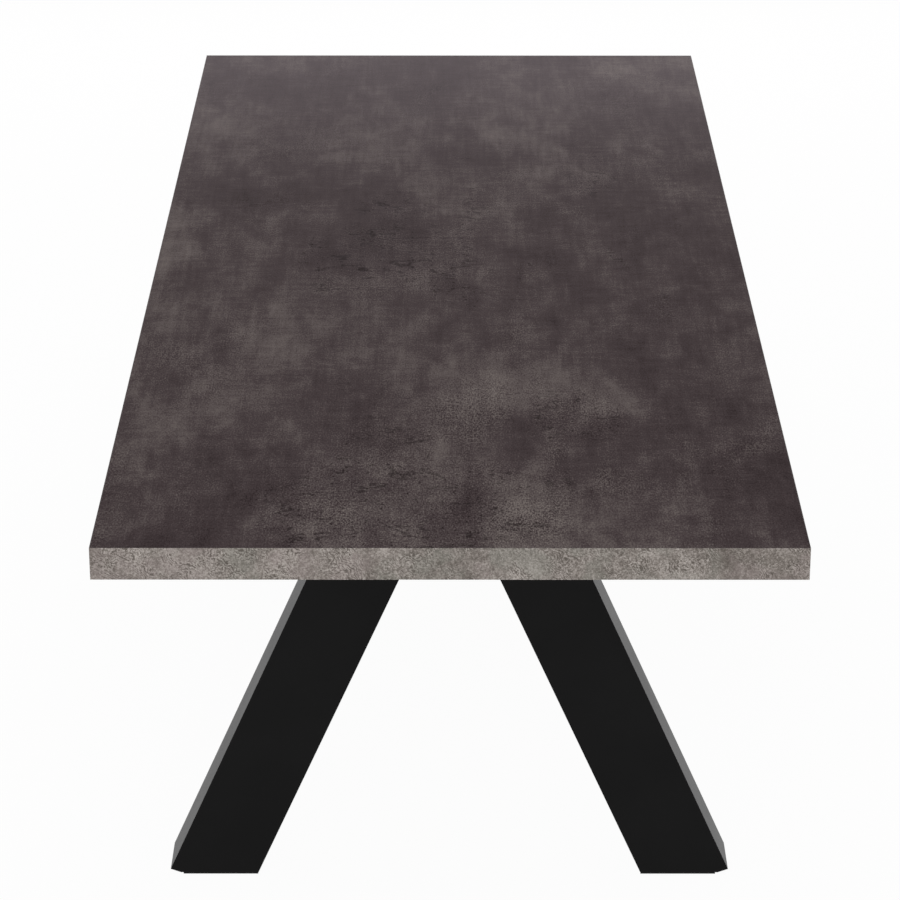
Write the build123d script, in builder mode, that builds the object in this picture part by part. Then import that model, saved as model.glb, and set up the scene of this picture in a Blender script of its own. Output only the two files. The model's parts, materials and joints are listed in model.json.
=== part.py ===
"""Long dining table on two inverted-V leg pairs, with pull-out rails and stowed leaves for its ends.

Millimetres. X runs across the table, Y along it and Z up. The origin is on the floor under the middle.
"""
import math
import os

from build123d import *

# Top: a hollow board of two skins on a framed core, closed by thin edge bands.
table_length = 2500
table_width = 1000
table_height = 750
skin_thickness = 8
core_thickness = 32
band_thickness = 1
core_rail_width = 40
cell_radius = 45
cell_wall = 3
block_margin = 10

# Legs: box legs that lean inwards and meet under the top.
leg_inset = 418
leg_depth = 85
leg_width = 141.5
leg_lean = 23.86
leg_wall = 2
leg_mitre = 11
toe_clip_run = 19
toe_clip_rise = 6
foot_pad_thickness = 2.5
foot_pad_margin = 0.5
foot_pad_toe_margin = 4
head_plug_height = 40

# Steel plate between each leg pair and the top.
plate_thickness = 6
plate_side_margin = 14
plate_flange = 40
plate_screw_pitch = 120

# Fasteners, and the play around each of them.
bolt_radius = 4
bolt_length = 32
bolt_head_radius = 6.5
bolt_head_height = 3.5
bolt_pitch = 60
screw_radius = 2
screw_length = 28
screw_head_radius = 4.5
screw_head_height = 3
fastener_clearance = 0.3

# Pull-out rails and their guide channels, one pair at each end.
rail_edge_inset = 200
rail_width = 40
rail_height = 25
rail_wall = 2
rail_corner = 2
rail_engagement = 160
bar_inset = 80
guide_wall = 3
guide_flange = 18
guide_lip = 8
guide_bar_gap = 5
liner_thickness = 2
rail_side_clearance = 1
rail_top_clearance = 0.5
guide_screw_rows = 3
guide_screw_inset = 30
tube_cap_flange = 2
tube_cap_plug = 12
tube_cap_relief = 0.2
rest_pad_radius = 10
rest_pad_spread = 150
leaf_seat_play = 0.5

# Stops that end the pull, and the clamp knob that holds the rails.
stop_pin_radius = 3
stop_pin_inset = 25
stop_pin_reach = 3
stop_margin = 2
bridge_length = 30
bridge_thickness = 4
stud_radius = 4
stud_gap = 0.3
stud_depth = 12
knob_gap = 2
knob_height = 22
knob_radius = 15
knob_lobe_radius = 5
knob_lobes = 6
knob_round = 1.5

# Leaves, stowed crosswise under the middle of the top.
leaf_edge_margin = 5
leaf_headroom = 4
leaf_end_clearance = 3
leaf_stop_thickness = 7
leaf_stop_gap = 0.5
leaf_stop_length = 30
leaf_stop_drop = 24
leaf_stop_inset = 100
strip_width = 40
strip_margin = 20
hanger_wall = 3
hanger_flange = 28
hanger_lip = 25
felt_thickness = 2
hanger_screws = 5
hanger_screw_margin = 40
hanger_rail_gap = 17

# Levels and places that follow from the sizes above.
top_thickness = core_thickness + 2 * skin_thickness
underside = table_height - top_thickness
core_bottom = underside + skin_thickness
half_length = table_length / 2
half_width = table_width / 2
board_width = table_width - 2 * band_thickness
board_length = table_length - 2 * band_thickness
inner_width = board_width - 2 * core_rail_width
inner_length = board_length - 2 * core_rail_width
lean_slope = math.tan(math.radians(leg_lean))
leg_top = underside - plate_thickness
leg_mid = half_length - leg_inset - leg_depth / 2
apex_height = leg_top - leg_mitre
plate_width = 2 * (leg_width - leg_mitre * lean_slope + plate_side_margin)
plate_depth = leg_depth + 2 * plate_flange
rail_x = half_width - rail_edge_inset
rail_spacing = 2 * rail_x
rail_top = underside - guide_wall - rail_top_clearance
rail_middle = rail_top - rail_height / 2
rail_bottom = rail_top - rail_height
guide_inner_width = rail_width + 2 * rail_side_clearance
guide_width = guide_inner_width + 2 * guide_wall
guide_bottom = rail_bottom - liner_thickness - guide_wall
leaf_top = underside - leaf_headroom
leaf_bottom = leaf_top - top_thickness
leaf_inner = leaf_stop_thickness / 2 + leaf_stop_gap
leaf_outer = inner_width / 2 - leaf_edge_margin
leaf_width = leaf_outer - leaf_inner
leaf_middle = leaf_inner + leaf_width / 2
hanger_y = half_width + leaf_end_clearance
hanger_end = hanger_y + hanger_flange
hanger_screw_y = (hanger_y + hanger_wall + hanger_end) / 2
bar_y = half_length - bar_inset - rail_width / 2
rail_outer = bar_y - rail_width / 2
rail_inner = hanger_end + hanger_rail_gap + tube_cap_flange
rail_travel = rail_outer - rail_inner - rail_engagement
guide_outer = rail_outer - guide_bar_gap
guide_inner = rail_inner
guide_length = guide_outer - guide_inner
guide_mid = (guide_outer + guide_inner) / 2
pin_y = rail_inner + stop_pin_inset
bridge_y = pin_y + stop_pin_radius + rail_travel + stop_margin + bridge_length / 2
seat_height = guide_wall + rail_top_clearance - leaf_seat_play
hole_radius = screw_radius + fastener_clearance
ends = {"front": -1, "rear": 1}
sides = {"left": -1, "right": 1}

os.makedirs("parts", exist_ok=True)


def save(builder, name):
    """Label a finished piece and write it."""
    builder.part.label = name
    export_step(builder.part, f"parts/{name}.step")


def grid(x, y, pitch_x, pitch_y, count_x, count_y):
    """Points of a rectangular pattern about (x, y)."""
    return [
        (x + pitch_x * (i - (count_x - 1) / 2), y + pitch_y * (j - (count_y - 1) / 2))
        for i in range(count_x)
        for j in range(count_y)
    ]


def inner_edge(z):
    """X of a leg's inner edge at height z: both legs' inner edges meet at the apex."""
    return (apex_height - z) * lean_slope


def outer_edge(z):
    """X of a leg's outer edge at height z."""
    return inner_edge(z) + leg_width


def across(y):
    """Sketch plane that faces the table's end, at y along the table."""
    return Plane.XZ.offset(-y)


def slab(name, x, y, z, size_x, size_y, size_z):
    """One rectangular board, its underside at z."""
    with BuildPart() as board:
        with Locations((x, y, z)):
            Box(size_x, size_y, size_z, align=(Align.CENTER, Align.CENTER, Align.MIN))
    save(board, name)


# Screw places, shared by the screws, the flanges, the lower skin and the blocks.
plate_points = []
guide_points = []
hanger_points = []
for end in ends.values():
    plate_points += grid(0, end * leg_mid, plate_screw_pitch, leg_depth + plate_flange, 3, 2)
    hanger_pitch = (2 * leaf_outer - 2 * hanger_screw_margin) / (hanger_screws - 1)
    hanger_points += grid(0, end * hanger_screw_y, hanger_pitch, 0, hanger_screws, 1)
    for side in sides.values():
        guide_pitch = (guide_length - 2 * guide_screw_inset) / (guide_screw_rows - 1)
        guide_points += grid(
            side * rail_x, end * guide_mid, guide_width + guide_flange, guide_pitch, 2, guide_screw_rows
        )
screw_points = plate_points + guide_points + hanger_points

# Blocks inside the core: (x, y, size_x, size_y) over every place that takes screws.
blocks = []
for end in ends.values():
    blocks.append((0, end * leg_mid, plate_width + block_margin, plate_depth + block_margin))
    blocks.append((0, end * hanger_screw_y, inner_width, hanger_flange + block_margin))
    for side in sides.values():
        block_width = guide_width + 2 * guide_flange + block_margin
        blocks.append((side * rail_x, end * guide_mid, block_width, guide_length))

# Top.
slab("top_skin", 0, 0, table_height - skin_thickness, board_width, board_length, skin_thickness)

with BuildPart() as bottom_skin:
    with Locations((0, 0, underside)):
        Box(board_width, board_length, skin_thickness, align=(Align.CENTER, Align.CENTER, Align.MIN))
    with Locations(*screw_points):
        Hole(hole_radius)
save(bottom_skin, "bottom_skin")

with BuildPart() as core_side_rails:
    with GridLocations(inner_width + core_rail_width, 0, 2, 1):
        with Locations((0, 0, core_bottom)):
            Box(core_rail_width, board_length, core_thickness, align=(Align.CENTER, Align.CENTER, Align.MIN))
save(core_side_rails, "core_side_rails")

with BuildPart() as core_end_rails:
    with GridLocations(0, inner_length + core_rail_width, 1, 2):
        with Locations((0, 0, core_bottom)):
            Box(inner_width, core_rail_width, core_thickness, align=(Align.CENTER, Align.CENTER, Align.MIN))
save(core_end_rails, "core_end_rails")

with BuildPart() as fixing_blocks:
    for x, y, size_x, size_y in blocks:
        with Locations((x, y, core_bottom)):
            Box(size_x, size_y, core_thickness, align=(Align.CENTER, Align.CENTER, Align.MIN))
    with Locations(*screw_points):
        Hole(hole_radius)
save(fixing_blocks, "fixing_blocks")

cell_pitch = 2 * cell_radius
column_pitch = cell_pitch * math.cos(math.radians(30))
cells_across = int(inner_width // column_pitch)
cells_along = int((inner_length - cell_radius) // cell_pitch)
with BuildPart() as honeycomb_core:
    with BuildSketch(Plane.XY.offset(core_bottom)):
        Rectangle(inner_width, inner_length)
        with HexLocations(cell_radius, cells_across, cells_along):
            RegularPolygon(cell_radius - cell_wall / 2, 6, major_radius=False, mode=Mode.SUBTRACT)
        for x, y, size_x, size_y in blocks:
            with Locations((x, y)):
                Rectangle(size_x, size_y, mode=Mode.SUBTRACT)
    extrude(amount=core_thickness)
save(honeycomb_core, "honeycomb_core")

for end_name, end in ends.items():
    band_y = end * (half_length - band_thickness / 2)
    slab(f"edge_band_{end_name}", 0, band_y, underside, table_width, band_thickness, top_thickness)
for side_name, side in sides.items():
    band_x = side * (half_width - band_thickness / 2)
    slab(f"edge_band_{side_name}", band_x, 0, underside, band_thickness, board_length, top_thickness)

# Legs.
sole = foot_pad_thickness
toe = sole + toe_clip_rise
cavity_floor = toe + leg_wall
side_wall = leg_wall / math.cos(math.radians(leg_lean))
cavity_apex = apex_height + (side_wall - leg_wall) / lean_slope
plug_floor = leg_top - head_plug_height
leg_outline = [
    (inner_edge(sole), sole),
    (outer_edge(sole) - toe_clip_run, sole),
    (outer_edge(toe), toe),
    (outer_edge(leg_top), leg_top),
    (0, leg_top),
    (0, apex_height),
]


def cavity_outline(floor):
    """Outline of the space inside a leg, from a floor height up to the leg's open top."""
    return [
        (inner_edge(floor) + side_wall, floor),
        (outer_edge(floor) - side_wall, floor),
        (outer_edge(leg_top) - side_wall, leg_top),
        (leg_wall, leg_top),
        (leg_wall, cavity_apex),
    ]


def mirrored(points, side):
    """An outline for the given side of the table, kept counter-clockwise."""
    return [(side * x, z) for x, z in points][::side]


bolt_x = (outer_edge(leg_top) + leg_wall) / 2
bolt_points = []
for end in ends.values():
    for side in sides.values():
        bolt_points += grid(side * bolt_x, end * leg_mid, bolt_pitch, 0, 2, 1)

for end_name, end in ends.items():
    for side_name, side in sides.items():
        with BuildPart() as leg:
            with BuildSketch(across(end * leg_mid)):
                Polygon(*mirrored(leg_outline, side), align=None)
            extrude(amount=leg_depth / 2, both=True)
            with BuildSketch(across(end * leg_mid)):
                Polygon(*mirrored(cavity_outline(cavity_floor), side), align=None)
            extrude(amount=leg_depth / 2 - leg_wall, both=True, mode=Mode.SUBTRACT)
        save(leg, f"leg_{end_name}_{side_name}")

with BuildPart() as leg_head_plugs:
    for end in ends.values():
        for side in sides.values():
            with BuildSketch(across(end * leg_mid)):
                Polygon(*mirrored(cavity_outline(plug_floor), side), align=None)
            extrude(amount=leg_depth / 2 - leg_wall, both=True)
    with Locations(*bolt_points):
        Hole(bolt_radius + fastener_clearance)
save(leg_head_plugs, "leg_head_plugs")

pad_inner = inner_edge(sole) + foot_pad_margin
pad_outer = outer_edge(sole) - toe_clip_run - foot_pad_toe_margin
with BuildPart() as foot_pads:
    with GridLocations(pad_inner + pad_outer, 2 * leg_mid, 2, 2):
        Box(
            pad_outer - pad_inner,
            leg_depth - 2 * foot_pad_margin,
            foot_pad_thickness,
            align=(Align.CENTER, Align.CENTER, Align.MIN),
        )
save(foot_pads, "foot_pads")

for end_name, end in ends.items():
    with BuildPart() as leg_plate:
        with Locations((0, end * leg_mid, leg_top)):
            Box(plate_width, plate_depth, plate_thickness, align=(Align.CENTER, Align.CENTER, Align.MIN))
        with Locations(*[(x, y, underside) for x, y in bolt_points if y * end > 0]):
            CounterBoreHole(
                bolt_radius + fastener_clearance,
                bolt_head_radius + fastener_clearance,
                bolt_head_height + fastener_clearance,
            )
        with Locations(*[(x, y, underside) for x, y in plate_points if y * end > 0]):
            Hole(hole_radius)
    save(leg_plate, f"leg_plate_{end_name}")

bolt_seat = underside - bolt_head_height - fastener_clearance
with BuildPart() as leg_plate_bolts:
    with Locations(*[(x, y, bolt_seat) for x, y in bolt_points]):
        Cylinder(bolt_head_radius, bolt_head_height, align=(Align.CENTER, Align.CENTER, Align.MIN))
        Cylinder(bolt_radius, bolt_length, align=(Align.CENTER, Align.CENTER, Align.MAX))
save(leg_plate_bolts, "leg_plate_bolts")

# Screws: one kind, driven up through each flange.
screw_groups = {
    "leg_plate_screws": (plate_points, plate_thickness),
    "guide_screws": (guide_points, guide_wall),
    "hanger_screws": (hanger_points, hanger_wall),
}
for group_name, (points, flange) in screw_groups.items():
    with BuildPart() as screws:
        with Locations(*[(x, y, underside - flange) for x, y in points]):
            Cylinder(screw_radius, screw_length, align=(Align.CENTER, Align.CENTER, Align.MIN))
            Cylinder(screw_head_radius, screw_head_height, align=(Align.CENTER, Align.CENTER, Align.MAX))
    save(screws, group_name)

# Guide channels.
for end_name, end in ends.items():
    for side_name, side in sides.items():
        x = side * rail_x
        with BuildPart() as guide:
            with BuildSketch(across(end * guide_mid)):
                with Locations((x, underside)):
                    Rectangle(guide_width + 2 * guide_flange, guide_wall, align=(Align.CENTER, Align.MAX))
                    Rectangle(guide_width, underside - guide_bottom, align=(Align.CENTER, Align.MAX))
                with Locations((x, guide_bottom)):
                    Rectangle(
                        guide_inner_width - 2 * guide_lip,
                        guide_wall,
                        align=(Align.CENTER, Align.MIN),
                        mode=Mode.SUBTRACT,
                    )
                with Locations((x, underside - guide_wall)):
                    Rectangle(
                        guide_inner_width,
                        underside - guide_bottom - 2 * guide_wall,
                        align=(Align.CENTER, Align.MAX),
                        mode=Mode.SUBTRACT,
                    )
            extrude(amount=guide_length / 2, both=True)
            with Locations(*[(px, py, underside) for px, py in guide_points if px * x > 0 and py * end > 0]):
                Hole(hole_radius, 2 * guide_wall)
        save(guide, f"guide_{end_name}_{side_name}")

liner_pitch = guide_inner_width - guide_lip
with BuildPart() as guide_liners:
    for end in ends.values():
        for side in sides.values():
            points = grid(side * rail_x, end * guide_mid, liner_pitch, 0, 2, 1)
            with Locations(*[(x, y, rail_bottom) for x, y in points]):
                Box(guide_lip, guide_length, liner_thickness, align=(Align.CENTER, Align.CENTER, Align.MAX))
save(guide_liners, "guide_liners")

lock_sides = {"front": 1, "rear": -1}
bridge_groups = {"stop_bridges": -1, "lock_bridges": 1}
for group_name, sense in bridge_groups.items():
    with BuildPart() as bridges:
        with Locations(
            *[(sense * lock_sides[e] * rail_x, ends[e] * bridge_y, guide_bottom) for e in ends]
        ):
            Box(guide_width, bridge_length, bridge_thickness, align=(Align.CENTER, Align.CENTER, Align.MAX))
            if sense > 0:
                Hole(stud_radius + fastener_clearance)
    save(bridges, group_name)

# Pull-out rails: a pair of tubes behind a cross bar, with end caps, rest pads and stop pins.
rail_length = rail_outer - rail_inner
rail_mid = (rail_outer + rail_inner) / 2
bar_length = rail_spacing + rail_width
flange_width = rail_width - 2 * tube_cap_relief
flange_height = rail_height - 2 * tube_cap_relief
cap_width = rail_width - 2 * rail_wall - 2 * fastener_clearance
cap_height = rail_height - 2 * rail_wall - 2 * fastener_clearance


def tube(plane, length):
    """Rectangular tube drawn on a plane at its middle and run both ways."""
    with BuildPart() as body:
        with BuildSketch(plane):
            RectangleRounded(rail_width, rail_height, rail_corner)
            Rectangle(rail_width - 2 * rail_wall, rail_height - 2 * rail_wall, mode=Mode.SUBTRACT)
        extrude(amount=length / 2, both=True)
    return body


for end_name, end in ends.items():
    for side_name, side in sides.items():
        rail_plane = Plane((side * rail_x, end * rail_mid, rail_middle), x_dir=(1, 0, 0), z_dir=(0, -1, 0))
        save(tube(rail_plane, rail_length), f"{end_name}_rail_{side_name}")

    bar_plane = Plane((0, end * bar_y, rail_middle), x_dir=(0, 1, 0), z_dir=(1, 0, 0))
    save(tube(bar_plane, bar_length), f"{end_name}_cross_bar")

    cap_planes = []
    for side in sides.values():
        bar_tip = (side * bar_length / 2, end * bar_y, rail_middle)
        rail_tip = (side * rail_x, end * rail_inner, rail_middle)
        cap_planes.append(Plane(bar_tip, x_dir=(0, 1, 0), z_dir=(side, 0, 0)))
        cap_planes.append(Plane(rail_tip, x_dir=(1, 0, 0), z_dir=(0, -end, 0)))
    with BuildPart() as tube_caps:
        for plane in cap_planes:
            with BuildSketch(plane):
                RectangleRounded(flange_width, flange_height, rail_corner)
            extrude(amount=tube_cap_flange)
            with BuildSketch(plane):
                Rectangle(cap_width, cap_height)
            extrude(amount=-tube_cap_plug)
    save(tube_caps, f"{end_name}_tube_caps")

    with BuildPart() as rest_pads:
        with Locations((0, end * bar_y, rail_top)):
            with GridLocations(rest_pad_spread, 0, 2, 1):
                Cylinder(rest_pad_radius, seat_height, align=(Align.CENTER, Align.CENTER, Align.MIN))
    save(rest_pads, f"{end_name}_rest_pads")

    pin_length = liner_thickness + guide_wall + stop_pin_reach
    with BuildPart() as stop_pins:
        with Locations((0, end * pin_y, rail_bottom)):
            with GridLocations(rail_spacing, 0, 2, 1):
                Cylinder(stop_pin_radius, pin_length, align=(Align.CENTER, Align.CENTER, Align.MAX))
    save(stop_pins, f"{end_name}_stop_pins")

    # Clamp knob: a stud through the bridge that presses the rail from below.
    knob_x = lock_sides[end_name] * rail_x
    knob_top = guide_bottom - bridge_thickness - knob_gap
    stud_top = rail_bottom - stud_gap
    with BuildPart() as knob_stud:
        with Locations((knob_x, end * bridge_y, stud_top)):
            stud_length = stud_top - knob_top + stud_depth
            Cylinder(stud_radius, stud_length, align=(Align.CENTER, Align.CENTER, Align.MAX))
    save(knob_stud, f"{end_name}_knob_stud")

    with BuildPart() as knob_grip:
        with BuildSketch(Plane((knob_x, end * bridge_y, knob_top))):
            Circle(knob_radius)
            with PolarLocations(knob_radius, knob_lobes):
                Circle(knob_lobe_radius)
        extrude(amount=-knob_height)
        fillet(knob_grip.faces().sort_by(Axis.Z)[0].edges(), knob_round)
        with Locations((knob_x, end * bridge_y, knob_top)):
            Hole(stud_radius + fastener_clearance, stud_depth)
    save(knob_grip, f"{end_name}_knob_grip")

# Hangers that carry the stowed leaves, with felt on their lips and stops between the leaves.
lip_top = leaf_bottom - felt_thickness
for end_name, end in ends.items():
    hanger_profile = [
        (hanger_y, underside),
        (hanger_end, underside),
        (hanger_end, underside - hanger_wall),
        (hanger_y + hanger_wall, underside - hanger_wall),
        (hanger_y + hanger_wall, lip_top - hanger_wall),
        (hanger_y - hanger_lip, lip_top - hanger_wall),
        (hanger_y - hanger_lip, lip_top),
        (hanger_y, lip_top),
    ]
    with BuildPart() as hanger:
        with BuildSketch(Plane.YZ):
            with BuildLine():
                Polyline(*[(end * y, z) for y, z in hanger_profile], close=True)
            make_face()
        extrude(amount=leaf_outer, both=True)
        with Locations(*[(x, y, underside) for x, y in hanger_points if y * end > 0]):
            Hole(hole_radius, 2 * hanger_wall)
    save(hanger, f"leaf_hanger_{end_name}")

felt_y = half_width - (hanger_lip - leaf_end_clearance) / 2
with BuildPart() as hanger_felts:
    with Locations((0, 0, lip_top)):
        with GridLocations(0, 2 * felt_y, 1, 2):
            Box(
                2 * leaf_outer,
                hanger_lip - leaf_end_clearance,
                felt_thickness,
                align=(Align.CENTER, Align.CENTER, Align.MIN),
            )
save(hanger_felts, "hanger_felts")

with BuildPart() as leaf_stops:
    with Locations((0, 0, underside)):
        with GridLocations(0, table_width - 2 * leaf_stop_inset, 1, 2):
            Box(
                leaf_stop_thickness,
                leaf_stop_length,
                leaf_stop_drop,
                align=(Align.CENTER, Align.CENTER, Align.MAX),
            )
save(leaf_stops, "leaf_stops")

# Leaves: the same make-up as the top, with levelling strips where they rest on the rails.
leaf_board_width = leaf_width - 2 * band_thickness
leaf_core_bottom = leaf_bottom + skin_thickness
for side_name, side in sides.items():
    x = side * leaf_middle
    upper = leaf_top - skin_thickness
    slab(f"leaf_{side_name}_top_skin", x, 0, upper, leaf_board_width, board_width, skin_thickness)
    slab(f"leaf_{side_name}_bottom_skin", x, 0, leaf_bottom, leaf_board_width, board_width, skin_thickness)

    with BuildPart() as leaf_core:
        with BuildSketch(Plane.XY.offset(leaf_core_bottom)):
            with Locations((x, 0)):
                Rectangle(leaf_board_width, board_width)
                Rectangle(
                    leaf_board_width - 2 * core_rail_width,
                    board_width - 2 * core_rail_width,
                    mode=Mode.SUBTRACT,
                )
        extrude(amount=core_thickness)
    save(leaf_core, f"leaf_{side_name}_core_frame")

    with BuildPart() as leaf_bands:
        with BuildSketch(Plane.XY.offset(leaf_bottom)):
            with Locations((x, 0)):
                Rectangle(leaf_width, table_width)
                Rectangle(leaf_board_width, board_width, mode=Mode.SUBTRACT)
        extrude(amount=top_thickness)
    save(leaf_bands, f"leaf_{side_name}_edge_bands")

    with BuildPart() as leaf_strips:
        with Locations((x, 0, leaf_bottom)):
            with GridLocations(0, rail_spacing, 1, 2):
                Box(
                    leaf_width - 2 * strip_margin,
                    strip_width,
                    seat_height,
                    align=(Align.CENTER, Align.CENTER, Align.MAX),
                )
    save(leaf_strips, f"leaf_{side_name}_rest_strips")
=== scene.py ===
"""Long dining table on two inverted-V leg pairs: finishes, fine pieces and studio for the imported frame.

Metres, in the frame's own axes: X across the table, Y along it away from the camera, Z up.
"""
import json
import math

import bmesh
import bpy
import numpy as np
from bpy.props import FloatProperty, FloatVectorProperty, IntProperty, PointerProperty
from bpy.types import Operator, Panel, PropertyGroup
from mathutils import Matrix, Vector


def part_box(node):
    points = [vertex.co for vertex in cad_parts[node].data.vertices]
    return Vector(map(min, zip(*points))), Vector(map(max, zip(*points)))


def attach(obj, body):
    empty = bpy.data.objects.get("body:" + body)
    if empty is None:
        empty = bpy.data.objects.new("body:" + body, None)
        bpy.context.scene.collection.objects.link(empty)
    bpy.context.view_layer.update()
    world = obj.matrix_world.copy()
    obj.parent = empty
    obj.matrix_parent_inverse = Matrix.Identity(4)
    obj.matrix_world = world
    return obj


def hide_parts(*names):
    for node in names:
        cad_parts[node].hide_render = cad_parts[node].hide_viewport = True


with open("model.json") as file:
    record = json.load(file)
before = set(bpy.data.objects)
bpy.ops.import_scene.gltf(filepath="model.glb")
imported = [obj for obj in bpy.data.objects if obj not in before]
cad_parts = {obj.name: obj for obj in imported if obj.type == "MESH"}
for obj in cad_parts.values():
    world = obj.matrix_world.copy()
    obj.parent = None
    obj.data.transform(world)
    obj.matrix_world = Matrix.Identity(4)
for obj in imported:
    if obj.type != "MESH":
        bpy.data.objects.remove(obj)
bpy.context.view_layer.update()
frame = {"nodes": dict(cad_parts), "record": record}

bl_info = {
    "name": "Concrete-look dining table",
    "version": (1, 0, 0),
    "blender": (4, 5, 0),
    "location": "3D View > Sidebar > Table",
    "description": "Finishes, fine pieces and studio for an extendable dining table",
    "category": "Object",
}

ENDS = {"front": -1, "rear": 1}
SIDES = {"left": -1, "right": 1}
SLOT_OF = {part["node"]: part["material_slot"] for part in frame["record"]["subparts"]}
BODY_OF = {node: body for body, nodes in frame["record"]["behaviour"]["bodies"].items() for node in nodes}


# Properties


def length(name, description, default):
    """A size in metres."""
    return FloatProperty(
        name=name, description=description, default=default, min=0, precision=4, unit="LENGTH"
    )


def colour(name, description, default):
    """A linear colour."""
    return FloatVectorProperty(
        name=name, description=description, default=default, min=0, max=1, subtype="COLOR"
    )


def watts(name, description, default):
    """A lamp's power."""
    return FloatProperty(name=name, description=description, default=default, min=0, unit="POWER")


def share(name, description, default):
    """A number from 0 to 1."""
    return FloatProperty(
        name=name, description=description, default=default, min=0, max=1, subtype="FACTOR"
    )


class TableSizes(PropertyGroup):
    """Sizes of the pieces that are made here."""

    leg_width: length("Leg width", "Width of a leg, measured level", 0.1415)
    leg_lean: FloatProperty(
        name="Leg lean",
        description="Lean of a leg from upright",
        default=math.radians(23.86),
        subtype="ANGLE",
    )
    leg_mitre: length("Leg mitre", "Height of the joint where two legs meet", 0.011)
    toe_run: length("Toe run", "Part of the sole that is cut away at the outer corner", 0.019)
    toe_rise: length("Toe rise", "Height of the cut at the outer corner of the sole", 0.006)
    leg_arris: length("Leg arris", "Radius of a leg's edges", 0.0007)
    screw_head: length("Screw head", "Radius of a screw's head", 0.0045)
    screw_depth: length("Screw depth", "Height of a screw's head", 0.003)
    screw_shank: length("Screw shank", "Radius of a screw's shank", 0.002)
    screw_round: length("Screw crown", "Height of a screw head's crown", 0.0012)
    screw_recess: length("Screw recess", "Depth of the cross in a screw head", 0.0016)
    rail_corner: length("Rail corner", "Radius of a pull-out rail's corners", 0.002)
    bead_radius: length("Weld bead", "Radius of the bead where rail and bar meet", 0.0024)
    bead_pitch: length("Weld ripple", "Distance between two ripples of the bead", 0.0030)
    bead_stop: length("Weld stop", "Distance of the bead's ends from the top of the rail", 0.003)
    knob_lobes: IntProperty(name="Knob lobes", description="Lobes of a clamp knob", default=6, min=3)
    knob_wave: length("Knob wave", "Height of a clamp knob's lobes", 0.0022)
    knob_round: length("Knob rounding", "Rounding of a clamp knob's rims", 0.0035)
    knob_hollow: length("Knob hollow", "Depth of the hollow in a clamp knob's end face", 0.0012)


class TableColours(PropertyGroup):
    """Colours of the finishes."""

    decor_deep: colour("Decor, deep", "Darkest clouds of the top", (0.0140, 0.0076, 0.0086))
    decor_body: colour("Decor, body", "Main tone of the top", (0.0575, 0.0430, 0.0445))
    decor_pale: colour("Decor, pale", "Lightest clouds of the top", (0.172, 0.147, 0.136))
    decor_pit: colour("Decor, pits", "Pits and cracks of the top", (0.006, 0.003, 0.003))
    band_deep: colour("Edge, deep", "Wrinkles and shaded specks of the edge bands", (0.095, 0.080, 0.068))
    band_body: colour("Edge, body", "Main tone of the edge bands", (0.218, 0.190, 0.171))
    band_pale: colour("Edge, pale", "Lightest patches of the edge bands", (0.440, 0.400, 0.370))
    band_cool: colour("Edge, cool", "Grey-green patches of the edge bands", (0.196, 0.204, 0.172))
    band_warm: colour("Edge, warm", "Warm grey patches of the edge bands", (0.280, 0.228, 0.222))
    band_rim: colour("Edge, rim", "Upper and lower rims of the edge bands", (0.030, 0.023, 0.021))
    backing: colour("Backing", "Underside of the boards", (0.050, 0.048, 0.046))
    particle: colour("Particle board", "Raw board of the core", (0.42, 0.29, 0.17))
    paper: colour("Paper", "Honeycomb paper of the core", (0.38, 0.26, 0.15))
    lacquer: colour("Lacquer", "Legs and leg plates", (0.0034, 0.0033, 0.0034))
    powder: colour("Powder coat", "Pull-out rails and bars", (0.010, 0.010, 0.0105))
    zinc: colour("Zinc", "Plated sheet and fasteners", (0.50, 0.50, 0.51))
    nylon: colour("Nylon", "Liners and rest strips", (0.66, 0.64, 0.58))
    plastic: colour("Plastic", "Knobs and tube caps", (0.014, 0.014, 0.015))
    rubber: colour("Rubber", "Foot pads and rest pads", (0.008, 0.008, 0.008))
    felt: colour("Felt", "Felt on the hangers", (0.135, 0.135, 0.140))


class StudioSettings(PropertyGroup):
    """Camera, lamps and floor."""

    camera: FloatVectorProperty(
        name="Camera",
        description="Place of the camera",
        default=(-0.00547, -5.54409, 2.66291),
        subtype="TRANSLATION",
    )
    turn: FloatVectorProperty(
        name="Turn",
        description="Tilt, roll and heading of the camera",
        default=(1.180629, -0.000781, -0.00093),
        subtype="EULER",
    )
    lens: FloatProperty(
        name="Lens", description="Focal length on a 36 mm sensor", default=135.766, unit="CAMERA"
    )
    sky: share("Sky", "Strength of the even light from all round", 0.55)
    top_lamp: watts("Top lamp", "Power of the lamp over the table", 50.0)
    back_lamp: watts("Back lamp", "Power of the low strip behind the table", 42.0)
    front_lamp: watts("Front lamp", "Power of the lamp beside the camera", 75.0)
    floor: share("Floor", "Grey level of the floor in its own light", 0.85)
    floor_reach: length("Floor reach", "Distance from the table's middle to the floor's sides", 30.0)
    floor_gap: length("Floor gap", "Gap between the soles and the floor", 0.0004)
    shadow: share("Shadow", "Share of the floor's own light that is seen", 0.04)
    mirrored: share("Mirrored", "Share of plain white in the floor's reflection", 0.8)


# Shader arithmetic


NOISE_MEAN = 0.5

# Sockets of a Mix node that mixes colours, by their order, because its other forms share their names.
MIX_FACTOR, MIX_A, MIX_B = 0, 6, 7
MIX_RESULT = 2


class Wire:
    """A node socket that takes part in Python arithmetic: each operation adds a Math node."""

    def __init__(self, finish, socket):
        self.finish = finish
        self.socket = socket

    def __add__(self, other):
        return self.finish.math("ADD", self, other)

    __radd__ = __add__

    def __sub__(self, other):
        return self.finish.math("SUBTRACT", self, other)

    def __rsub__(self, other):
        return self.finish.math("SUBTRACT", other, self)

    def __mul__(self, other):
        return self.finish.math("MULTIPLY", self, other)

    __rmul__ = __mul__

    def __abs__(self):
        return self.finish.math("ABSOLUTE", self)


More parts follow.
